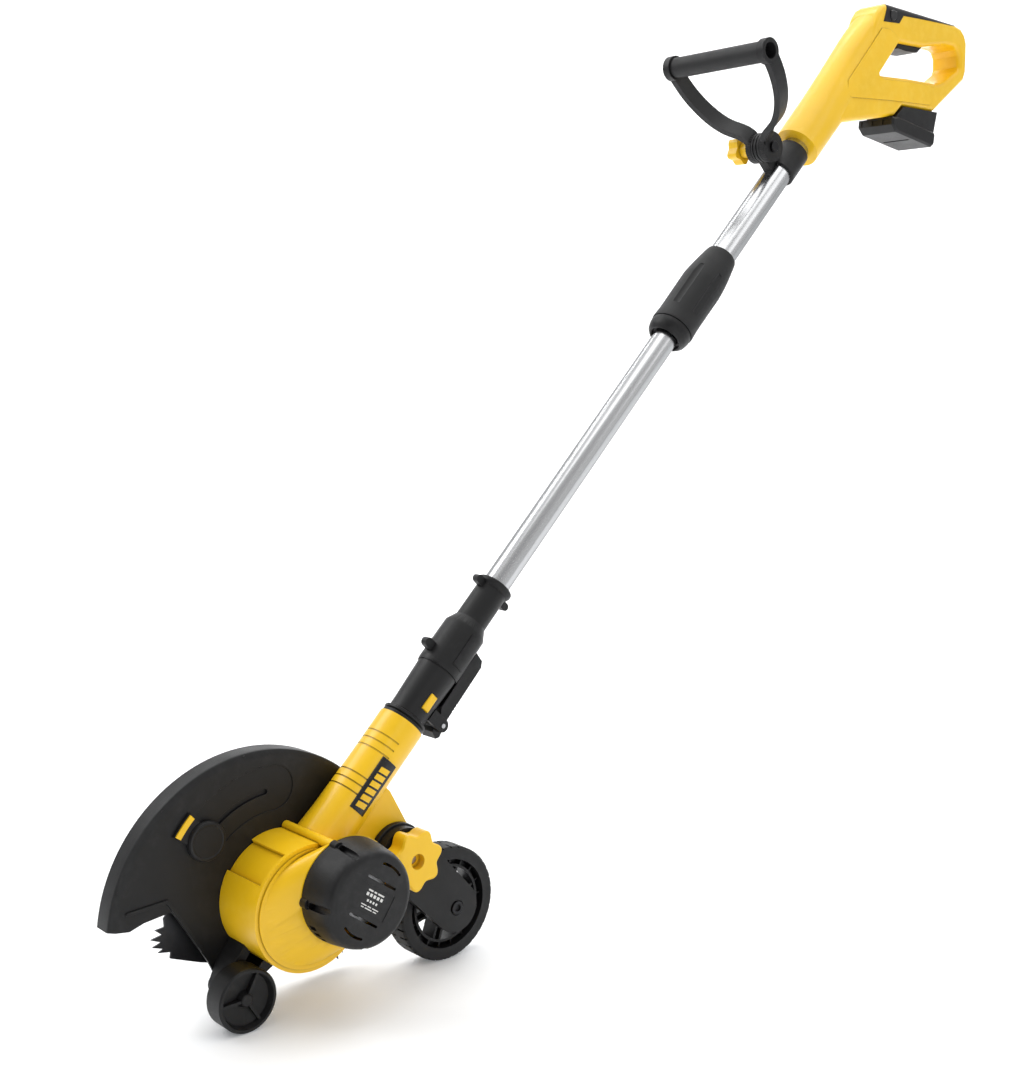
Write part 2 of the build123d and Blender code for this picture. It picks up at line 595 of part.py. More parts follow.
def coupler_lower():
    body = pole_spun([(0, 223.5), (14.6, 223.5), (14.6, 226.7), (13.5, 226.7), (13.5, 258.5),
                      (17.6, 258.5), (17.8, 270), (19.2, 306), (19.2, 307.7), (0, 307.7)])
    body -= pole_rod(LOWER_TUBE_R, LOWER_T0, 320) + pole_rod(10.0, 220, 320)
    # two ears carry the lever's pin
    for x in (-13.6, 9.6):
        body += pole_box(x, x + 4.0, -32.0, -13.0, 265.5, 277.5)
        body += pivot_rod(6.0, x, x + 4.0)
    body -= pivot_rod(2.0, -20, 20)
    # seat of the release button
    body -= pole_box(13.7, 30.0, -4.3, 4.3, 267.7, 284.3)
    return one(body - pole_rod(LOWER_TUBE_R, LOWER_T0, 320))


def pivot_rod(radius, x0, x1):
    """A cylinder on the lever's pin line; x from the pole's axis."""
    return rod(radius, POLE_X + x0, POLE_X + x1, on_pole(LEVER_T, LEVER_N))


def coupler_upper():
    body = pole_spun([(LOWER_TUBE_R, 307.7), (20.2, 307.7), (20.6, 310), (20.2, 352.5), (15.6, 361.5),
                      (15.0, 363.0), (14.8, 398.0), (16.2, 399.0), (17.6, 401.5), (17.6, 404.0),
                      (16.6, 405.0), (LOWER_TUBE_R, 405.0)])
    # raised panel on the side
    body += (pole_rod(21.2, 316, 348) - pole_rod(19.0, 310, 352)) & pole_box(6, 30, -9, 5, 316, 348)
    # screw lugs on the split line
    for t, n0, n1, r in ((397.0, 14.0, 21.0, 3.6), (397.0, -21.0, -14.0, 3.6), (320.0, 18.0, 27.0, 4.2)):
        lug = pole_box(-3.2, 3.2, n0, n1, t - r, t + r)
        end = n1 if n1 > 0 else n0
        lug += rod(r, POLE_X - 3.2, POLE_X + 3.2, on_pole(t, end))
        body += lug - pole_rod(13.5, t - 10, t + 10)
    # flat behind the lever
    body -= pole_box(-9.6, 9.6, -40, -18.2, 306, 345)
    return one(body - pole_rod(LOWER_TUBE_R, 300, 410))


def latch_pin():
    return pivot_rod(2.0, -14.4, 14.4)


def latch_lever():
    points = [on_pole(262.0, -27.0), on_pole(259.5, -34.5), on_pole(263.0, -37.0), on_pole(280.0, -33.5),
              on_pole(337.0, -32.5), on_pole(342.0, -29.0), on_pole(343.5, -19.0), on_pole(318.0, -18.8),
              on_pole(309.0, -19.8), on_pole(284.0, -20.4), on_pole(279.0, -24.0)]
    body = prism(points, POLE_X - 9.2, POLE_X + 9.2) + pivot_rod(6.4, -9.2, 9.2)
    body -= pivot_rod(2.05, -10, 10)
    # hollow underside
    hollow = [on_pole(284.0, -17.0), on_pole(285.0, -30.6), on_pole(335.0, -29.8), on_pole(340.0, -17.0)]
    body -= prism(hollow, POLE_X - 6.9, POLE_X + 6.9)
    # finger ridges
    for t in (288.0, 291.5, 295.0):
        body -= pole_box(-10, 10, -40, -32.9, t, t + 1.4)
    return one(body)


def release_button():
    body = pole_box(15.6, 19.4, -3.9, 3.9, 268.1, 283.9)
    return chamfer(body.edges().group_by(Axis.X)[-1], 0.8)


# ---------------------------------------------------------------------------
# Tubes, sleeve, lead
# ---------------------------------------------------------------------------
def lower_tube():
    return pole_rod(LOWER_TUBE_R, LOWER_T0, LOWER_T1) - pole_rod(
        LOWER_TUBE_R - TUBE_WALL, LOWER_T0 - 1, LOWER_T1 + 1)


def tube_plug():
    """Guide bush in the top of the lower tube."""
    return pole_spun([(9.4, LOWER_T1 - 18), (11.3, LOWER_T1 - 18), (11.3, LOWER_T1), (12.72, LOWER_T1),
                      (12.72, LOWER_T1 + 5), (12.0, LOWER_T1 + 6), (9.4, LOWER_T1 + 6)])


def upper_tube():
    return pole_rod(UPPER_TUBE_R, UPPER_T0, UPPER_T1) - pole_rod(
        UPPER_TUBE_R - TUBE_WALL, UPPER_T0 - 1, UPPER_T1 + 1)


def tube_collet():
    """Slotted clamp fixed on the end of the upper tube, around the lower tube."""
    body = pole_spun([(12.56, 722.0), (15.2, 722.0), (17.2, 728.0), (17.2, 735.0), (18.0, 740.0),
                      (18.0, 775.0), (14.0, 775.0), (14.0, UPPER_T0), (12.56, UPPER_T0)])
    for a in range(4):
        cut = POLE * Rot(0, 0, 45 + 90 * a) * Pos(0, 0, 720) * Box(1.2, 30, 14, align=(
            Align.CENTER, Align.MIN, Align.MIN))
        body -= cut
    return one(body)


def sleeve_nut():
    """Collar below the twist sleeve."""
    return pole_spun([(17.3, 732.2), (21.7, 732.2), (21.8, 727.5), (20.4, 722.0), (17.4, 718.4),
                      (15.6, 718.6), (15.4, 721.6), (17.3, 727.9)])


def twist_sleeve():
    outer = [(22.4, 732.5), (22.7, 734.5), (22.0, 745.0), (22.2, 775.0), (22.4, 793.0), (21.3, 804.0),
             (19.6, 816.0), (17.4, 829.0), (16.4, 833.6), (15.6, 834.4)]
    body = pole_spun([(18.1, 732.5)] + outer + [(14.12, 834.4), (14.12, 776.0), (18.1, 775.6)])
    # six long flutes
    for i in range(6):
        flute = POLE * Rot(0, 0, 60 * i + 20) * Pos(0, 26.6, 750) * Cylinder(6.0, 54, align=BOTTOM)
        body -= flute
    return one(body)


def coiled_lead():
    """Coiled lead in the tubes, with its two straight tails."""
    helix = Helix(pitch=7.0, height=182, radius=5.6)
    wire = Wire(helix.edges())
    start = Plane(origin=wire @ 0, z_dir=wire % 0)
    coil = sweep(start * Circle(1.9), path=wire)
    return POLE * Pos(0, 0, 905) * coil


# ---------------------------------------------------------------------------
# D handle
# ---------------------------------------------------------------------------
AUX = on_pole(AUX_T, AUX_N)
AUX_DIR = math.radians(132.4)           # direction of the grip from the pivot
GRIP = (AUX[0] + AUX_REACH * math.cos(AUX_DIR), AUX[1] + AUX_REACH * math.sin(AUX_DIR))
AUX_PLANE = Plane(origin=(POLE_X, AUX[0], AUX[1]), x_dir=(1, 0, 0),
                  z_dir=(0, -math.sin(AUX_DIR), math.cos(AUX_DIR)))
AUX_SIGN = 1 if AUX_PLANE.y_dir.Y * math.cos(AUX_DIR) > 0 else -1


def strap(points, half_thick, half_wide):
    """A flat bent strap along a curve given in the plane of the D handle."""
    line = Spline(*[(u, AUX_SIGN * v) for u, v in points])
    left, right = [], []
    for i in range(25):
        p, d = line @ (i / 24), line % (i / 24)
        left.append((p.X - d.Y * half_thick, p.Y + d.X * half_thick))
        right.append((p.X + d.Y * half_thick, p.Y - d.X * half_thick))
    face = make_face(Polyline(*left, *reversed(right), close=True))
    return extrude(AUX_PLANE * face, amount=half_wide, both=True)


NEAR_ARM = [(8.6, 0), (8.7, 10), (14.5, 19), (29, 28.5), (45, 45), (55.5, 66), (60.6, 87), (61.6, 107)]
FAR_ARM = [(-9.4, 0), (-9.5, 10), (-15, 19), (-30, 28.5), (-45.5, 45), (-55.6, 66), (-60.6, 87), (-61.6, 107)]
BOSS = (-5.7, 4.9)                      # clamp boss between the two arms, from the pole's axis


def aux_arm(points, disc0, disc1, eye0, eye1):
    body = strap(points, 3.3, 8.6) - rod(25.0, POLE_X + BOSS[0] - 0.3, POLE_X + BOSS[1] + 0.3, AUX)
    body += rod(15.4, POLE_X + disc0, POLE_X + disc1, AUX)
    body += rod(12.4, POLE_X + eye0, POLE_X + eye1, GRIP)
    body -= rod(9.9, POLE_X + eye0 - 1, POLE_X + eye1 + 1, GRIP)
    body -= rod(3.05, POLE_X - 40, POLE_X + 40, AUX)
    # knurled edge of the disc
    for i in range(36):
        body -= rod(0.5, POLE_X + disc0 - 1, POLE_X + disc1 + 1, polar(AUX, 15.5, 10 * i))
    return one(body)


def aux_grip():
    body = rod(9.9, POLE_X - 65.6, POLE_X + 65.6, GRIP)
    body += rod(10.3, POLE_X - 57.2, POLE_X + 57.2, GRIP)
    return body - rod(8.0, POLE_X - 70, POLE_X + 70, GRIP)


def aux_clamp():
    body = pole_rod(16.8, 960, 993)
    body += rod(15.2, POLE_X + BOSS[0], POLE_X + BOSS[1], AUX)
    body += pole_box(*BOSS, 0, 34, 949, 973)
    for x in (-3.6, 0.6):
        body -= tube(20.0, 13.6, POLE_X + x, POLE_X + x + 1.2, AUX) & pole_box(-20, 20, 24, 60, 930, 990)
    body -= rod(3.05, POLE_X - 40, POLE_X + 40, AUX)
    # split on the underside with a clamp gap
    body -= pole_box(-0.8, 0.8, -20, -10, 950, 1000)
    return one(body - pole_rod(UPPER_TUBE_R, 940, 1000))


def aux_bolt():
    return rod(3.0, POLE_X - 36.0, POLE_X + 12.0, AUX) + rod(5.4, POLE_X + 11.9, POLE_X + 14.6, AUX)


def aux_knob():
    body = lobed(AUX, 14.6, 11.2, 5, POLE_X - 40.0, POLE_X - 27.0, -80.0)
    body = chamfer(body.edges().group_by(Axis.X)[0], 1.2)
    body += rod(8.0, POLE_X - 28.0, POLE_X - 13.1, AUX)
    return one(body - rod(3.05, POLE_X - 36.6, POLE_X, AUX))


# ---------------------------------------------------------------------------
# Rear handle
# ---------------------------------------------------------------------------
# barrel round the pole: along, half width, half height, squareness
BARREL = [(1000.0, 24.2, 24.2, 2.0), (1030.0, 23.8, 24.8, 2.0), (1060.0, 22.2, 25.4, 2.1), (1095.0, 20.8, 26.6, 2.3),
          (1130.0, 20.6, 27.6, 2.6), (1160.0, 20.4, 28.0, 2.9), (1178.0, 20.2, 27.0, 3.1), (1190.0, 20.0, 25.4, 3.3)]
PROFILE = [on_pole(1006, 9.0), on_pole(1120, 9.0), on_pole(1150, 14.0), on_pole(1172, 22.0),
           (812.0, 906.5), (818.0, 913.5), (826.0, 917.3), (959.0, 912.6), (971.0, 910.4), (979.0, 904.0),
           (983.3, 895.0), (983.6, 863.0), (979.5, 853.2), (926.0, 815.6), (921.0, 812.7),
           (861.5, 812.7), (847.5, 800.9), (812.0, 794.5), (775.0, 788.6), on_pole(1045, -9.0),
           on_pole(1006, -9.0)]
OPENING = [(818.5, 842.0), (844.5, 870.5), (852.8, 879.6), (897.0, 880.6), (915.0, 884.2), (940.0, 888.4),
           (958.0, 888.6), (965.0, 886.0), (969.2, 880.0), (969.8, 868.0), (967.0, 863.0), (943.0, 848.5),
           (927.0, 843.6), (900.0, 843.8), (868.0, 843.4), (824.0, 841.4)]
PANEL = [(817.0, 890.0), (759.6, 828.8), (759.0, 817.0), (764.0, 812.0), (836.0, 816.0), (910.0, 818.6),
         (914.5, 822.0), (917.0, 837.0), (908.0, 839.5), (868.0, 838.6), (824.0, 836.6), (815.0, 838.6),
         (813.8, 843.0), (848.0, 881.5), (838.0, 888.0), (829.0, 890.5)]
GRIP_TOP = [(800.0, 870.0), (812.0, 906.5), (818.0, 913.5), (826.0, 917.3), (959.0, 912.6), (971.0, 910.4),
            (979.0, 904.0), (983.3, 895.0), (983.5, 870.0)]
PAD_SIDE = [(829.0, 925.0), (819.6, 897.6), (848.2, 899.2), (856.0, 908.3), (957.6, 911.2), (961.0, 916.0),
            (958.0, 925.0)]
PAD_THICK, PAD_PROUD = 1.4, 0.4
TRIGGER_AT = (857.5, 892.5)
TRIGGER_HALF = 13.4
BUTTON_AT = (836.6, 906.2)


def handle_outer():
    x0, x1 = POLE_X - HANDLE_HALF, POLE_X + HANDLE_HALF
    body = prism(PROFILE, x0, x1) - prism(OPENING, x0 - 1, x1 + 1)
    body = fillet(body.edges().filter_by(Plane.YZ), HANDLE_ROUND)
    return body + barrel(0, 0)


def barrel(depth, ends):
    """Round front part of the handle, moved in by a depth and cut short at both ends."""
    rings = []
    for t, half_w, half_h, square in BARREL:
        t = min(max(t, BARREL[0][0] + ends), BARREL[-1][0] - ends)
        points = []
        for i in range(36):
            a = math.radians(10 * i + 45)
            r = (abs(math.cos(a) / (half_w - depth)) ** square
                 + abs(math.sin(a) / (half_h - depth)) ** square) ** (-1 / square)
            points.append((r * math.cos(a), r * math.sin(a)))
        rings.append(POLE * Pos(0, 0, t) * make_face(Spline(*points, periodic=True)))
    return loft(rings)


def grip_top(depth):
    """The rounded top of the grip, moved in by a depth."""
    half = HANDLE_HALF - depth
    body = prism(inset(GRIP_TOP, depth), POLE_X - half, POLE_X + half)
    return fillet(body.edges().filter_by(Plane.YZ), HANDLE_ROUND - depth)


def pack_point(along, up):
    """Y and Z of a point in the battery's tilted frame."""
    a = math.radians(PACK_TILT)
    return (PACK[0] + along * math.cos(a) + up * math.sin(a),
            PACK[1] - along * math.sin(a) + up * math.cos(a))


def pack_prism(points, half):
    return prism([pack_point(*p) for p in points], POLE_X - half, POLE_X + half)


def grip_pad():
    """Soft pad over the top of the grip, with a flank around the lock-off button."""
    body = (grip_top(-PAD_PROUD) & prism(PAD_SIDE, POLE_X - 30, POLE_X + 30)) - grip_top(PAD_THICK)
    return one(body - button_outline(0.35))


def button_outline(play):
    """U-shaped outline of the lock-off button, straight at the top."""
    r = 5.6 + play
    body = rod(r, POLE_X + 8.0, POLE_X + 40, BUTTON_AT)
    y, z = BUTTON_AT
    return body + prism([(y - r, z), (y + r, z), (y + r, z + 4.6 + play), (y - r, z + 4.6 + play)],
                        POLE_X + 8.0, POLE_X + 40)


def rail_outer(half=HANDLE_HALF):
    return prism([(848.8, 800.6), (861.9, 811.9), (926.5, 811.9), (920.6, 789.3), pack_point(6.0, 17.3)],
                 POLE_X - half, POLE_X + half)


def handle_shell(sign):
    outer = handle_outer()
    shell = outer - handle_hollow()
    shell -= pole_rod(UPPER_TUBE_R, 990, UPPER_T1)
    shell -= prism([(842, 780), (848.5, 800.6), (861.6, 812.2), (960, 812.2), (960, 780)],
                   POLE_X - 30, POLE_X + 30)
    shell -= grip_pad()
    shell -= button_outline(0.35)
    # slot for the trigger under the grip
    shell -= prism([(853.4, 871), (853.4, 881), (849.0, 885.0), (849.0, 894.0), (850.5, 899.3), (905.5, 899.3),
                    (905.5, 871)], POLE_X - TRIGGER_HALF - 0.4, POLE_X + TRIGGER_HALF + 0.4)
    half = prism([(500, 600), (1100, 600), (1100, 1000), (500, 1000)],
                 min(POLE_X, POLE_X + sign * 60), max(POLE_X, POLE_X + sign * 60))
    shell = shell & half
    for c in HANDLE_SCREWS:
        post = rod(4.0, POLE_X - 17.5, POLE_X + 17.5, c) & half
        shell += post
        shell -= rod(1.5, POLE_X - 16, POLE_X + 16, c)
        shell -= rod(3.2, POLE_X - 40, POLE_X - 13.0, c)
    for x in (-17.6, TRIGGER_HALF + 0.4):
        shell += (rod(3.8, POLE_X + x, POLE_X + x + 17.2 - TRIGGER_HALF, TRIGGER_AT)
                  - rod(2.06, POLE_X - 16.6, POLE_X + 16.6, TRIGGER_AT)) & half
    ledge = prism([(846.0, 826.4), (900.0, 828.4), (900.0, 830.3), (846.0, 828.3)],
                  POLE_X - 17.6, POLE_X + 17.6)
    shell += (ledge - rod(40, POLE_X - 14, POLE_X + 14, (873, 828))) & half
    # raised side panel
    panel = prism(PANEL, POLE_X + sign * HANDLE_HALF - 0.9, POLE_X + sign * HANDLE_HALF + 0.9)
    shell += panel
    return one(shell)


HANDLE_SCREWS = ((774.0, 826.0), (836.0, 823.0), (912.0, 830.0), (975.8, 888.0), (818.0, 887.0))


def handle_hollow():
    """The space inside the two shells."""
    x0, x1 = POLE_X - HANDLE_HALF + WALL, POLE_X + HANDLE_HALF - WALL
    body = prism(inset(PROFILE, WALL), x0, x1) - prism(inset(OPENING, -WALL), x0 - 1, x1 + 1)
    body = chamfer(body.edges().filter_by(Plane.YZ), 1.2) + barrel(WALL, WALL)
    # solid collar where the tube goes in, and a ring at the tube's end
    body -= pole_box(-40, 40, -40, 40, 990, 1014)
    body -= pole_box(-40, 40, -26, 40, 1076, 1084)
    return body


def handle_screws():
    return [rod(1.45, POLE_X - 13.0, POLE_X + 12, c) + rod(2.9, POLE_X - 15.4, POLE_X - 13.0, c)
            for c in HANDLE_SCREWS]


def trigger():
    points = [(851.0, 896.5), (851.0, 885.0), (855.0, 880.4), (856.5, 874.8), (872.0, 873.6), (893.0, 874.6),
              (901.0, 881.2), (904.0, 889.0), (904.0, 898.6), (884.0, 898.6)]
    body = prism(points, POLE_X - TRIGGER_HALF, POLE_X + TRIGGER_HALF)
    body -= prism([(863, 903), (863, 886), (899, 886), (899, 903)], POLE_X - TRIGGER_HALF + 2.2,
                  POLE_X + TRIGGER_HALF - 2.2)
    return one(body + rod(2.0, POLE_X - 16.2, POLE_X + 16.2, TRIGGER_AT))


def trigger_switch():
    body = prism([(866, 904.8), (866, 910.0), (906, 909.0), (906, 904.8)], POLE_X - 6, POLE_X + 6)
    return body + prism([(872, 906.6), (872, 908.4), (898, 908.4), (898, 906.6)], POLE_X - 17.2, POLE_X + 17.2)


def lock_button():
    y0, z0 = BUTTON_AT
    body = button_outline(0) & prism([(y0 - 9, z0 - 9), (y0 + 9, z0 - 9), (y0 + 9, z0 + 9), (y0 - 9, z0 + 9)],
                                     POLE_X + 15.5, POLE_X + 21.9)
    body = chamfer(body.edges().group_by(Axis.X)[-1], 0.8)
    return body + rod(3.0, POLE_X + 8.0, POLE_X + 15.6, BUTTON_AT)


def control_board():
    board = prism([(846, 828.4), (846, 830.0), (900, 832.0), (900, 830.4)], POLE_X - 17.1, POLE_X + 17.1)
    for y in (855, 866, 877):
        board += prism([(y, 829.5), (y, 834.5), (y + 6, 834.7), (y + 6, 829.5)], POLE_X - 8, POLE_X + 6)
    return one(board)


def battery_rail():
    """Black foot of the handle with an undercut channel, open to the rear."""
    body = rail_outer()
    body -= pack_prism([(14.0, 20.4), (14.0, 26.2), (95.0, 26.2), (95.0, 20.4)], 15.8)
    body -= pack_prism([(14.0, 10.0), (14.0, 21.0), (95.0, 21.0), (95.0, 10.0)], 12.4)
    body -= contact_block()
    return one(body)


def contact_block():
    body = pack_prism([(11.5, 20.5), (11.5, 25.5), (15.0, 25.5), (15.0, 20.5)], 10.0)
    for x in CONTACTS:
        body += prism([pack_point(14.5, 21.6), pack_point(14.5, 24.4), pack_point(22.0, 24.4),
                       pack_point(22.0, 21.6)], POLE_X + x - 0.5, POLE_X + x + 0.5)
    return one(body)


def battery_case():
    body = pack_prism([(-6.4, 6.0), (2.5, 0.0), (PACK_L - 4.0, 0.0), (PACK_L, 4.0), (PACK_L, 14.0),
                       (PACK_L - 2.0, PACK_H), (3.0, PACK_H), (-2.0, 15.4), (-7.2, 14.2)], PACK_W / 2)
    body = chamfer(body.edges().filter_by(Plane.YZ), 2.2)
    # rail head and neck that run in the handle's channel
    body += pack_prism([(16.0, 16.0), (16.0, 20.8), (74.0, 20.8), (74.0, 16.0)], 12.0)
    body += pack_prism([(16.0, 20.8), (16.0, 25.8), (74.0, 25.8), (74.0, 20.8)], 15.4)
    body -= pack_prism([(2.6, 2.4), (2.6, 14.8), (PACK_L - 2.8, 14.8), (PACK_L - 2.8, 2.4)], PACK_W / 2 - 2.4)
    # contact slots
    for x in CONTACTS:
        body -= prism([pack_point(10, 21.2), pack_point(10, 24.8), pack_point(24, 24.8),
                       pack_point(24, 21.2)], POLE_X + x - 0.9, POLE_X + x + 0.9)
    # windows in the front face and a long groove underneath
    for x in (-18.5, -4.5, 9.5):
        body -= prism([pack_point(-9, 7), pack_point(-9, 13), pack_point(-5.7, 13), pack_point(-5.3, 7)],
                      POLE_X + x, POLE_X + x + 9.0)
    body -= prism([pack_point(34, -1), pack_point(34, 1.0), pack_point(37, 1.0), pack_point(37, -1)],
                  POLE_X - 17, POLE_X + 17)
    # pocket of the latch button
    body -= pack_prism([(70.6, 4.6), (70.6, 13.6), (90, 13.6), (90, 4.6)], 10.4)
    body += (pack_prism([(68.0, 3.0), (68.0, 14.9), (70.6, 14.9), (70.6, 3.0)], 12.0))
    return one(body)


def battery_cells():
    cells = []
    for i in range(5):
        c = pack_point(9.4 + 12.4 * i, 8.6)
        cell = rod(5.9, POLE_X - 20.6, POLE_X + 19.8, c) + rod(2.0, POLE_X + 19.8, POLE_X + 20.8, c)
        cells.append(cell)
    return cells


def latch_button():
    body = pack_prism([(72.8, 5.0), (72.8, 13.2), (77.4, 13.2), (77.4, 5.0)], 10.0)
    return chamfer(body.edges().group_by(Axis.Y)[-1], 0.8)


# ---------------------------------------------------------------------------
# Write every node
# ---------------------------------------------------------------------------
def main():
    save("gear_housing", gear_housing())
    save("gear_cover", gear_cover())
    save("motor_can", motor_can())
    save("motor_cover", motor_cover())
    save("motor_cover_screws", *motor_cover_screws())
    save("label_plate", label_plate())
    save("rotor_shaft", rotor())
    save("pinion", pinion())
    save("spur_gear", spur_gear())
    save("spindle", spindle())
    save("spindle_bearings", *spindle_bearings())
    save("swivel_collar", swivel_collar())
    save("blade_guard", guard())
    save("case_screws", *back_screws(COVER_SCREWS, COVER_SCREW_R, -46.4),
         *back_screws(GUARD_SCREWS, GUARD_SCREW_R, -51.2))
    save("guide_slider", guide_slider())
    save("guide_marker", guide_marker())
    save("blade", blade())
    save("blade_flanges", *blade_flanges())
    save("blade_nut", blade_nut())
    save("front_roller", roller())
    save("roller_axle", roller_axle())
    save("roller_bracket", roller_bracket())
    save("wheel_rim", wheel_rim())
    save("wheel_tread", wheel_tread())
    save("wheel_arm", wheel_arm())
    save("wheel_axle", wheel_axle())
    save("wheel_collar", wheel_collar())
    save("depth_bolt", depth_bolt())
    save("star_knob", star_knob())
    save("coupler_lower", coupler_lower())
    save("coupler_upper", coupler_upper())
    save("latch_pin", latch_pin())
    save("latch_lever", latch_lever())
    save("release_button", release_button())
    save("lower_tube", lower_tube())
    save("tube_plug", tube_plug())
    save("upper_tube", upper_tube())
    save("tube_collet", tube_collet())
    save("sleeve_nut", sleeve_nut())
    save("twist_sleeve", twist_sleeve())
    save("coiled_lead", coiled_lead())
    save("aux_arm_left", aux_arm(NEAR_ARM, 5.3, 11.6, 57.4, 65.4))
    save("aux_arm_right", aux_arm(FAR_ARM, -12.7, -6.1, -65.4, -57.4))
    save("aux_grip", aux_grip())
    save("aux_clamp", aux_clamp())
    save("aux_bolt", aux_bolt())
    save("aux_knob", aux_knob())
    save("handle_shell_left", handle_shell(1))
    save("handle_shell_right", handle_shell(-1))
    save("handle_screws", *handle_screws())
    save("grip_pad", grip_pad())
    save("trigger", trigger())
    save("trigger_switch", trigger_switch())
    save("lock_button", lock_button())
    save("battery_rail", battery_rail())
    save("contact_block", contact_block())
    save("control_board", control_board())
    save("battery_case", battery_case())
    save("battery_cells", *battery_cells())
    save("battery_latch", latch_button())


main()
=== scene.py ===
import json
import math

import bmesh
import bpy
from mathutils import Matrix, Vector


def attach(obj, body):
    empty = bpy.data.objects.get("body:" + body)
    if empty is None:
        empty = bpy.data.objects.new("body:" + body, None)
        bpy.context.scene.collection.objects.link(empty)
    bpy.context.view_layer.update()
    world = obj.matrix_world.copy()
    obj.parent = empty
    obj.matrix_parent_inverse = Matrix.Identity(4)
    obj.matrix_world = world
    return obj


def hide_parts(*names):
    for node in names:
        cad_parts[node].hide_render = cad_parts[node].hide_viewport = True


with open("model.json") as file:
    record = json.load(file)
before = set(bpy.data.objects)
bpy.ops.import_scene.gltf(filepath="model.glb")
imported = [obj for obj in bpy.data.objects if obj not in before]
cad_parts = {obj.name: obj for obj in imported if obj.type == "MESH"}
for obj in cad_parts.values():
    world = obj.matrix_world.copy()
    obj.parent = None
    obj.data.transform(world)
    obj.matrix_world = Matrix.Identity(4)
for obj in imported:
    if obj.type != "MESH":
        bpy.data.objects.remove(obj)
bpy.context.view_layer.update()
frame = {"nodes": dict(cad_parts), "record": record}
record = frame["record"]
slots = {part["node"]: part["material_slot"] for part in record["subparts"]}
bodies = record["behaviour"]["bodies"]
body_of = {node: body for body, members in bodies.items() for node in members}
joints = {j["name"]: j for j in record["behaviour"]["joints"]}
MM = 0.001


# ---------------------------------------------------------------------------
# Procedural materials
# ---------------------------------------------------------------------------
class Paint:
    """A node material with a principled shader and small helpers to feed it."""

    def __init__(self, name):
        self.mat = bpy.data.materials.new(name)
        self.mat.use_nodes = True
        self.tree = self.mat.node_tree
        self.bsdf = self.tree.nodes["Principled BSDF"]
        self.coord = self.add("ShaderNodeTexCoord").outputs["Object"]

    def add(self, kind, **values):
        node = self.tree.nodes.new(kind)
        for key, value in values.items():
            setattr(node, key, value)
        return node

    def link(self, a, b):
        self.tree.links.new(a, b)

    def mapped(self, scale=(1, 1, 1), turn=(0, 0, 0)):
        node = self.add("ShaderNodeMapping")
        node.inputs["Scale"].default_value = scale
        node.inputs["Rotation"].default_value = turn
        self.link(self.coord, node.inputs["Vector"])
        return node.outputs["Vector"]

    def noise(self, scale, detail=3.0, rough=0.5, vector=None):
        node = self.add("ShaderNodeTexNoise")
        node.inputs["Scale"].default_value = scale
        node.inputs["Detail"].default_value = detail
        node.inputs["Roughness"].default_value = rough
        self.link(vector or self.coord, node.inputs["Vector"])
        return node.outputs["Fac"]

    def cells(self, scale, vector=None):
        node = self.add("ShaderNodeTexVoronoi")
        node.inputs["Scale"].default_value = scale
        self.link(vector or self.coord, node.inputs["Vector"])
        return node.outputs["Distance"]

    def span(self, value, low, high, start=0.3, end=0.7):
        """value between start and end becomes low to high."""
        node = self.add("ShaderNodeMapRange")
        for key, number in (("From Min", start), ("From Max", end), ("To Min", low), ("To Max", high)):
            node.inputs[key].default_value = number
        self.link(value, node.inputs["Value"])
        return node.outputs["Result"]

    def mix(self, factor, a, b):
        node = self.add("ShaderNodeMix", data_type="RGBA")
        for key, value in ((6, a), (7, b)):
            if hasattr(value, "is_linked"):
                self.link(value, node.inputs[key])
            else:
                node.inputs[key].default_value = (*value, 1)
        self.link(factor, node.inputs[0])
        return node.outputs[2]

    def edges(self, low=0.505, high=0.56):
        """1 on convex edges, 0 elsewhere."""
        return self.span(self.add("ShaderNodeNewGeometry").outputs["Pointiness"], 0.0, 1.0, low, high)

    def painted_crease_shade(self, reach=0.003):
        """Painted shade mask: 1 in the open, falling to 0 deep in seams and grooves of the same piece, where
        the colour is darkened as shade would darken it.
        """
        node = self.add("ShaderNodeAmbientOcclusion", samples=6, only_local=True)
        node.inputs["Distance"].default_value = reach
        return node.outputs["AO"]

    def times(self, a, b):
        node = self.add("ShaderNodeMath", operation="MULTIPLY")
        for key, value in ((0, a), (1, b)):
            if hasattr(value, "is_linked"):
                self.link(value, node.inputs[key])
            else:
                node.inputs[key].default_value = value
        return node.outputs[0]

    def bump(self, *layers):
        """Each layer is (height, depth in metres)."""
        normal = None
        for height, depth in layers:
            node = self.add("ShaderNodeBump")
            node.inputs["Distance"].default_value = depth
            node.inputs["Strength"].default_value = 1.0
            self.link(height, node.inputs["Height"])
            if normal:
                self.link(normal, node.inputs["Normal"])
            normal = node.outputs["Normal"]
        self.link(normal, self.bsdf.inputs["Normal"])

    def colour(self, value):
        if hasattr(value, "is_linked"):
            self.link(value, self.bsdf.inputs["Base Color"])
        else:
            self.bsdf.inputs["Base Color"].default_value = (*value, 1)

    def rough(self, value):
        self.link(value, self.bsdf.inputs["Roughness"])

    def set(self, **values):
        for key, value in values.items():
            self.bsdf.inputs[key.replace("_", " ").title().replace("Ior", "IOR")].default_value = value


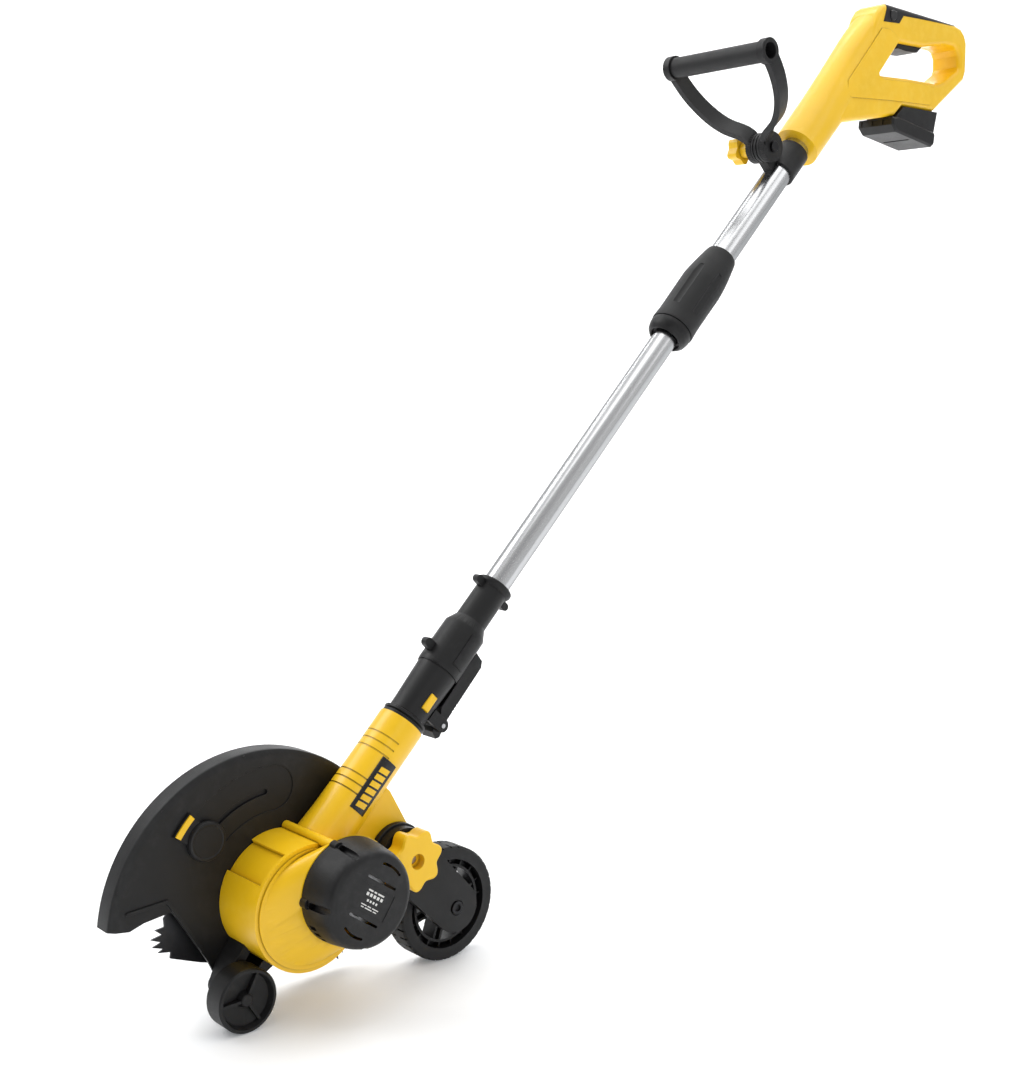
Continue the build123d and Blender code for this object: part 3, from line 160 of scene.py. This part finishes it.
def moulded(name, body, worn, rough=(0.34, 0.46), grain=0.00002, grain_scale=2600, wear=0.35, coat=0.0,
            shine=0.45):
    """Injection-moulded plastic: fine spark texture, slow gloss changes, slightly rubbed edges, and painted
    shade darkening its seams and grooves.
    """
    p = Paint(name)
    drift = p.noise(14, 4, 0.6)
    shade = p.mix(p.span(drift, 0.0, 1.0), body, [c * 0.9 for c in body])
    rubbed = p.times(p.edges(), p.span(p.noise(90, 5, 0.65), 0.0, wear, 0.45, 0.7))
    surface = p.mix(rubbed, shade, worn)
    # painted shade: the colour falls to 0.3 of the body colour in seams and grooves, where shade would fall
    p.colour(p.mix(p.span(p.painted_crease_shade(), 0.0, 1.0, 0.35, 0.9), [c * 0.3 for c in body], surface))
    p.rough(p.span(p.noise(38, 6, 0.6), *rough))
    p.bump((p.noise(5, 2, 0.5), 0.0008), (p.cells(grain_scale), grain))
    p.set(specular_ior_level=shine, coat_weight=coat, coat_roughness=0.2)
    return p.mat


def metal(name, body, rough=(0.25, 0.4), streak=(1, 1, 1), turn=(0, 0, 0), scale=900, depth=0.000006,
          anisotropy=0.0, tarnish=0.85, rim=1.0):
    """Metal with a directional finish: streak squeezes the noise along the working direction."""
    p = Paint(name)
    lines = p.noise(scale, 4, 0.55, p.mapped(streak, turn))
    cloud = p.noise(22, 5, 0.6)
    p.colour(p.mix(p.span(cloud, 0.0, 1.0), body, [c * tarnish for c in body]))
    p.rough(p.span(lines, *rough))
    p.bump((lines, depth))
    p.set(metallic=1.0, anisotropic=anisotropy, specular_tint=(rim, rim, rim, 1))
    return p.mat


POLE_LEAN = math.atan2(joints["length_slide"]["axis"][2], joints["length_slide"]["axis"][1])
ALONG_POLE = (-(math.pi / 2 - POLE_LEAN), 0, 0)


def rubber(name, body, rough=(0.62, 0.8)):
    p = Paint(name)
    p.colour(p.mix(p.span(p.noise(30, 5, 0.6), 0.0, 1.0), body, [c * 1.6 for c in body]))
    p.rough(p.span(p.noise(60, 5, 0.6), *rough))
    p.bump((p.noise(700, 3, 0.5), 0.00003), (p.cells(3200), 0.00002))
    p.set(specular_ior_level=0.35)
    return p.mat


def board(name):
    """Circuit board: green resist with lighter tracks."""
    p = Paint(name)
    tracks = p.span(p.cells(420), 0.0, 1.0, 0.05, 0.12)
    p.colour(p.mix(tracks, (0.05, 0.3, 0.12), (0.02, 0.14, 0.06)))
    p.rough(p.span(p.noise(60), 0.3, 0.5))
    p.bump((tracks, 0.00004))
    return p.mat


YELLOW, YELLOW_WORN = (0.9, 0.54, 0.006), (0.93, 0.63, 0.06)
BLACK, BLACK_WORN = (0.0075, 0.0075, 0.008), (0.035, 0.035, 0.037)
FINISH = {
    "yellow_plastic": moulded("yellow_plastic", YELLOW, YELLOW_WORN, (0.3, 0.4), 0.000012, coat=0.1),
    "black_plastic": moulded("black_plastic", BLACK, BLACK_WORN, (0.4, 0.52), 0.00003, shine=0.3),
    "grip_black": rubber("grip_black", (0.008, 0.008, 0.0085), (0.5, 0.62)),
    "pack_black": moulded("pack_black", (0.007, 0.007, 0.0075), BLACK_WORN, (0.42, 0.52), 0.00003, shine=0.3),
    "button_black": moulded("button_black", (0.009, 0.009, 0.0095), BLACK_WORN, (0.25, 0.34), 0.000006),
    "switch_black": moulded("switch_black", (0.02, 0.02, 0.021), BLACK_WORN, (0.4, 0.5)),
    "label_black": moulded("label_black", (0.006, 0.006, 0.0065), BLACK_WORN, (0.22, 0.3), 0.000004),
    "tube_aluminium": metal("tube_aluminium", (0.56, 0.565, 0.575), (0.2, 0.28), (1, 1, 0.004), ALONG_POLE,
                            2600, 0.000003, 0.2, 0.97, 0.25),
    "blade_steel": metal("blade_steel", (0.06, 0.06, 0.064), (0.34, 0.52), (1, 1, 0.05), scale=700),
    "gear_steel": metal("gear_steel", (0.4, 0.4, 0.41), (0.25, 0.4)),
    "motor_steel": metal("motor_steel", (0.45, 0.45, 0.46), (0.3, 0.45)),
    "bearing_steel": metal("bearing_steel", (0.6, 0.6, 0.61), (0.12, 0.22)),
    "zinc_steel": metal("zinc_steel", (0.5, 0.5, 0.515), (0.24, 0.4)),
    "dark_steel": metal("dark_steel", (0.035, 0.035, 0.037), (0.3, 0.45)),
    "cell_steel": metal("cell_steel", (0.55, 0.55, 0.57), (0.2, 0.35)),
    "contact_brass": metal("contact_brass", (0.68, 0.48, 0.2), (0.2, 0.35)),
    "board_green": board("board_green"),
    "lead_rubber": rubber("lead_rubber", (0.012, 0.012, 0.012)),
    "white_nylon": moulded("white_nylon", (0.7, 0.7, 0.68), (0.75, 0.75, 0.74), (0.4, 0.5)),
    "tyre_black": rubber("tyre_black", (0.0085, 0.0085, 0.009), (0.55, 0.72)),
}


# ---------------------------------------------------------------------------
# Shown pieces: every moulded piece gets rounded edges
# ---------------------------------------------------------------------------
MERGE_WITHIN = 3e-6         # vertices this close are one, in metres
FLAT_WITHIN = 0.8           # degrees between faces that are merged into one
SHARP_OVER = 32.0           # degrees from which an edge is rounded


def new_object(name, mesh, slot_name, body):
    piece = bpy.data.objects.new(name, mesh)
    bpy.context.scene.collection.objects.link(piece)
    mesh.materials.clear()
    mesh.materials.append(FINISH[slot_name])
    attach(piece, body)
    return piece


def soften(node, width):
    """A copy of a CAD node with its edges rounded, shown in its place."""
    mesh = frame["nodes"][node].data.copy()
    bm = bmesh.new()
    bm.from_mesh(mesh)
    bmesh.ops.remove_doubles(bm, verts=bm.verts, dist=MERGE_WITHIN)
    bmesh.ops.dissolve_limit(bm, angle_limit=math.radians(FLAT_WITHIN), verts=bm.verts, edges=bm.edges)
    for face in bm.faces:
        face.smooth = True
    bm.to_mesh(mesh)
    bm.free()
    if "custom_normal" in mesh.attributes:
        mesh.attributes.remove(mesh.attributes["custom_normal"])
    piece = new_object(node + "_shown", mesh, slots[node], body_of[node])
    round_off = piece.modifiers.new("rounded edges", "BEVEL")
    round_off.width = width
    round_off.segments = 3
    round_off.limit_method = "ANGLE"
    round_off.angle_limit = math.radians(SHARP_OVER)
    round_off.use_clamp_overlap = True
    round_off.harden_normals = False
    weigh = piece.modifiers.new("flat faces stay flat", "WEIGHTED_NORMAL")
    weigh.keep_sharp = True
    weigh.weight = 80
    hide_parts(node)
    return piece


# radius of the rounded edges in millimetres
ROUNDED = {
    "gear_housing": 0.7, "gear_cover": 0.4, "motor_cover": 0.6, "label_plate": 0.25, "swivel_collar": 0.4,
    "blade_guard": 0.5, "roller_bracket": 0.8, "wheel_collar": 0.8, "guide_slider": 0.5, "guide_marker": 0.3,
    "front_roller": 0.6, "wheel_arm": 0.9, "wheel_rim": 0.5, "wheel_tread": 0.35, "star_knob": 1.2,
    "coupler_lower": 0.6, "coupler_upper": 0.6, "latch_lever": 0.7, "release_button": 0.5, "sleeve_nut": 0.5,
    "twist_sleeve": 0.8, "aux_arm_left": 1.2, "aux_arm_right": 1.2, "aux_grip": 0.5, "aux_clamp": 0.7,
    "aux_knob": 1.0, "handle_shell_left": 0.5, "handle_shell_right": 0.5, "grip_pad": 0.7, "trigger": 1.0,
    "lock_button": 0.5, "battery_rail": 0.6, "battery_case": 0.8, "battery_latch": 0.5, "blade": 0.15,
    "case_screws": 0.2, "motor_cover_screws": 0.2, "handle_screws": 0.2, "wheel_axle": 0.3, "aux_bolt": 0.3,
    "depth_bolt": 0.3, "roller_axle": 0.3, "blade_nut": 0.3, "blade_flanges": 0.3,
}
for node, width in ROUNDED.items():
    soften(node, width * MM)


# ---------------------------------------------------------------------------
# Printed marks: plain bars in place of any lettering
# ---------------------------------------------------------------------------
POLE_DIR = Vector(joints["length_slide"]["axis"]).normalized()
SWIVEL = Vector(joints["head_swivel"]["pos_m"])
ACROSS = Vector((1, 0, 0))
ABOVE = POLE_DIR.cross(ACROSS) * (1 if POLE_DIR.cross(ACROSS).z > 0 else -1)


def quads_object(name, quads, slot_name, body):
    """Thin printed patches from lists of four corners."""
    bm = bmesh.new()
    for quad in quads:
        bm.faces.new([bm.verts.new(corner) for corner in quad])
    mesh = bpy.data.meshes.new(name)
    bm.to_mesh(mesh)
    bm.free()
    return new_object(name, mesh, slot_name, body)


def label_bars():
    """Six slanted blocks round the side of the neck."""
    radius, bars, steps = 22.72 * MM, 6, 6
    start, pitch, length, slant = -88.0 * MM, 6.9 * MM, 5.0 * MM, 1.6 * MM
    low, high = math.radians(-7.5), math.radians(17.5)
    quads = []
    for k in range(bars):
        t0 = start + pitch * k
        for i in range(steps):
            ring, f0, f1 = [], i / steps, (i + 1) / steps
            for f, dt in ((f0, 0.0), (f1, 0.0), (f1, length), (f0, length)):
                a = low + (high - low) * f
                ring.append(SWIVEL + POLE_DIR * (t0 + dt - slant * f)
                            + (ACROSS * math.cos(a) + ABOVE * math.sin(a)) * radius)
            quads.append(ring)
    quads_object("label_bars", quads, "yellow_plastic", "head")


def cap_marks():
    """Rows of small blank dashes on the end of the motor cover."""
    hub = Vector(joints["motor_spin"]["pos_m"])
    lean, gap = math.radians(-35), 1.4
    along, up = Vector((0, math.cos(lean), math.sin(lean))), Vector((0, -math.sin(lean), math.cos(lean)))
    face_x = max(v.co.x for v in frame["nodes"]["motor_cover"].data.vertices) - 0.5 * MM
    # each row: height above the hub, height of its dashes, their lengths, in millimetres
    rows = [(6.4, 1.3, (5.0, 3.0, 7.0)), (2.4, 2.6, (2.6,) * 5), (-2.0, 1.9, (1.9,) * 4),
            (-5.6, 0.8, (6.0, 4.0, 7.0)), (-7.6, 0.8, (3.0, 8.0, 4.0))]
    quads = []
    for level, tall, widths in rows:
        at = -(sum(widths) + gap * (len(widths) - 1)) / 2
        for wide in widths:
            corner = []
            for u, v in ((at, 0), (at + wide, 0), (at + wide, tall), (at, tall)):
                point = hub + along * (u * MM) + up * ((level + v) * MM)
                corner.append((face_x, point.y, point.z))
            quads.append(corner)
            at += wide + gap
    quads_object("cap_marks", quads, "white_nylon", "head")


label_bars()
cap_marks()
for node, obj in frame["nodes"].items():
    obj.data.materials.clear()
    obj.data.materials.append(FINISH[slots[node]])


# ---------------------------------------------------------------------------
# Floor, light, camera
# ---------------------------------------------------------------------------
EYE = (1.0268, -1.0387, 0.5442)         # where the camera stands
VIEW_TURN = 49.18                       # degrees that it is turned round the vertical
VIEW_DOWN = 7.19                        # degrees that it looks down
WALL_TURN = 49.2                        # degrees that the backdrop is turned to face it


def backdrop():
    """Pale floor that curves up behind the edger, a hair below its wheels."""
    near, bend, radius, top, half_width, drop = -8.0, 3.0, 2.0, 7.0, 30.0, 0.0002
    profile = [(near, 0.0), (bend, 0.0)]
    for i in range(1, 13):
        a = math.pi / 2 * i / 12
        profile.append((bend + radius * math.sin(a), radius - radius * math.cos(a)))
    profile.append((bend + radius, top))
    facing = Matrix.Rotation(math.radians(WALL_TURN), 4, "Z")
    bm = bmesh.new()
    rows = []
    for depth, height in profile:
        ends = [Vector((x, depth, height - drop)) for x in (-half_width, half_width)]
        rows.append([bm.verts.new(facing @ end) for end in ends])
    for a, b in zip(rows, rows[1:]):
        bm.faces.new((a[0], a[1], b[1], b[0]))
    mesh = bpy.data.meshes.new("backdrop")
    for face in bm.faces:
        face.smooth = True
    bm.to_mesh(mesh)
    bm.free()
    floor = bpy.data.objects.new("backdrop", mesh)
    bpy.context.scene.collection.objects.link(floor)
    p = Paint("backdrop")
    p.colour(p.mix(p.span(p.noise(0.7, 2), 0.0, 1.0), (0.86, 0.86, 0.865), (0.89, 0.89, 0.89)))
    p.rough(p.span(p.noise(3, 3), 0.5, 0.6))
    p.bump((p.noise(220, 3), 0.00003))
    p.set(specular_ior_level=0.3, emission_color=(0.9, 0.95, 1, 1), emission_strength=0.13)
    mesh.materials.append(p.mat)


def softbox(name, place, target, size, power, tint=(1, 1, 1)):
    lamp = bpy.data.lights.new(name, "AREA")
    lamp.shape = "RECTANGLE"
    lamp.size, lamp.size_y = size
    lamp.energy = power
    lamp.color = tint
    obj = bpy.data.objects.new(name, lamp)
    obj.location = place
    obj.rotation_euler = (Vector(target) - Vector(place)).to_track_quat("-Z", "Y").to_euler()
    bpy.context.scene.collection.objects.link(obj)


def surroundings():
    """White studio that is dimmer on the side the camera stands, plus soft lamps."""
    world = bpy.data.worlds.new("studio")
    world.use_nodes = True
    tree = world.node_tree
    sky = tree.nodes["Background"]
    sky.inputs["Color"].default_value = (1, 1, 1, 1)
    direction = tree.nodes.new("ShaderNodeTexCoord")
    dim_side = tree.nodes.new("ShaderNodeVectorMath")
    dim_side.operation = "DOT_PRODUCT"
    dim_side.inputs[1].default_value = (0.70, -0.71, 0.1)
    falloff = tree.nodes.new("ShaderNodeMapRange")
    falloff.interpolation_type = "SMOOTHSTEP"
    for key, number in (("From Min", 0.45), ("From Max", 0.98), ("To Min", 0.74), ("To Max", 0.16)):
        falloff.inputs[key].default_value = number
    tree.links.new(direction.outputs["Generated"], dim_side.inputs[0])
    tree.links.new(dim_side.outputs["Value"], falloff.inputs["Value"])
    tree.links.new(falloff.outputs["Result"], sky.inputs["Strength"])
    bpy.context.scene.world = world
    middle = (0, 0, 0.35)
    softbox("key", (-1.6, -1.5, 2.4), middle, (1.6, 1.6), 34)
    softbox("fill", (2.3, -1.3, 0.9), middle, (1.2, 1.4), 11)
    softbox("handle light", (1.5, 1.0, 1.7), (0, 0.4, 0.8), (0.9, 0.9), 3)
    softbox("top", (0.2, 0.3, 2.8), middle, (2.2, 2.2), 26)
    softbox("rim", (-1.2, 2.4, 1.6), middle, (1.2, 1.6), 14)
    # two high lamps for the wall behind
    softbox("wall left", (-2.6, 0.4, 3.6), (-3.9, 2.6, 1.3), (2.6, 0.8), 90)
    softbox("wall right", (-0.4, 2.4, 3.6), (-2.6, 3.8, 1.3), (2.6, 0.8), 90)


def camera():
    """The photographer's place, at the front and motor side of the edger."""
    lens = bpy.data.cameras.new("camera")
    lens.sensor_width = 36.0
    lens.lens = 50.3
    lens.dof.use_dof = False
    lens.clip_start, lens.clip_end = 0.05, 60
    eye = bpy.data.objects.new("camera", lens)
    eye.location = EYE
    eye.rotation_euler = (math.radians(90 - VIEW_DOWN), 0, math.radians(VIEW_TURN))
    bpy.context.scene.collection.objects.link(eye)
    bpy.context.scene.camera = eye


backdrop()
surroundings()
camera()
bpy.context.scene.view_settings.view_transform = "Standard"
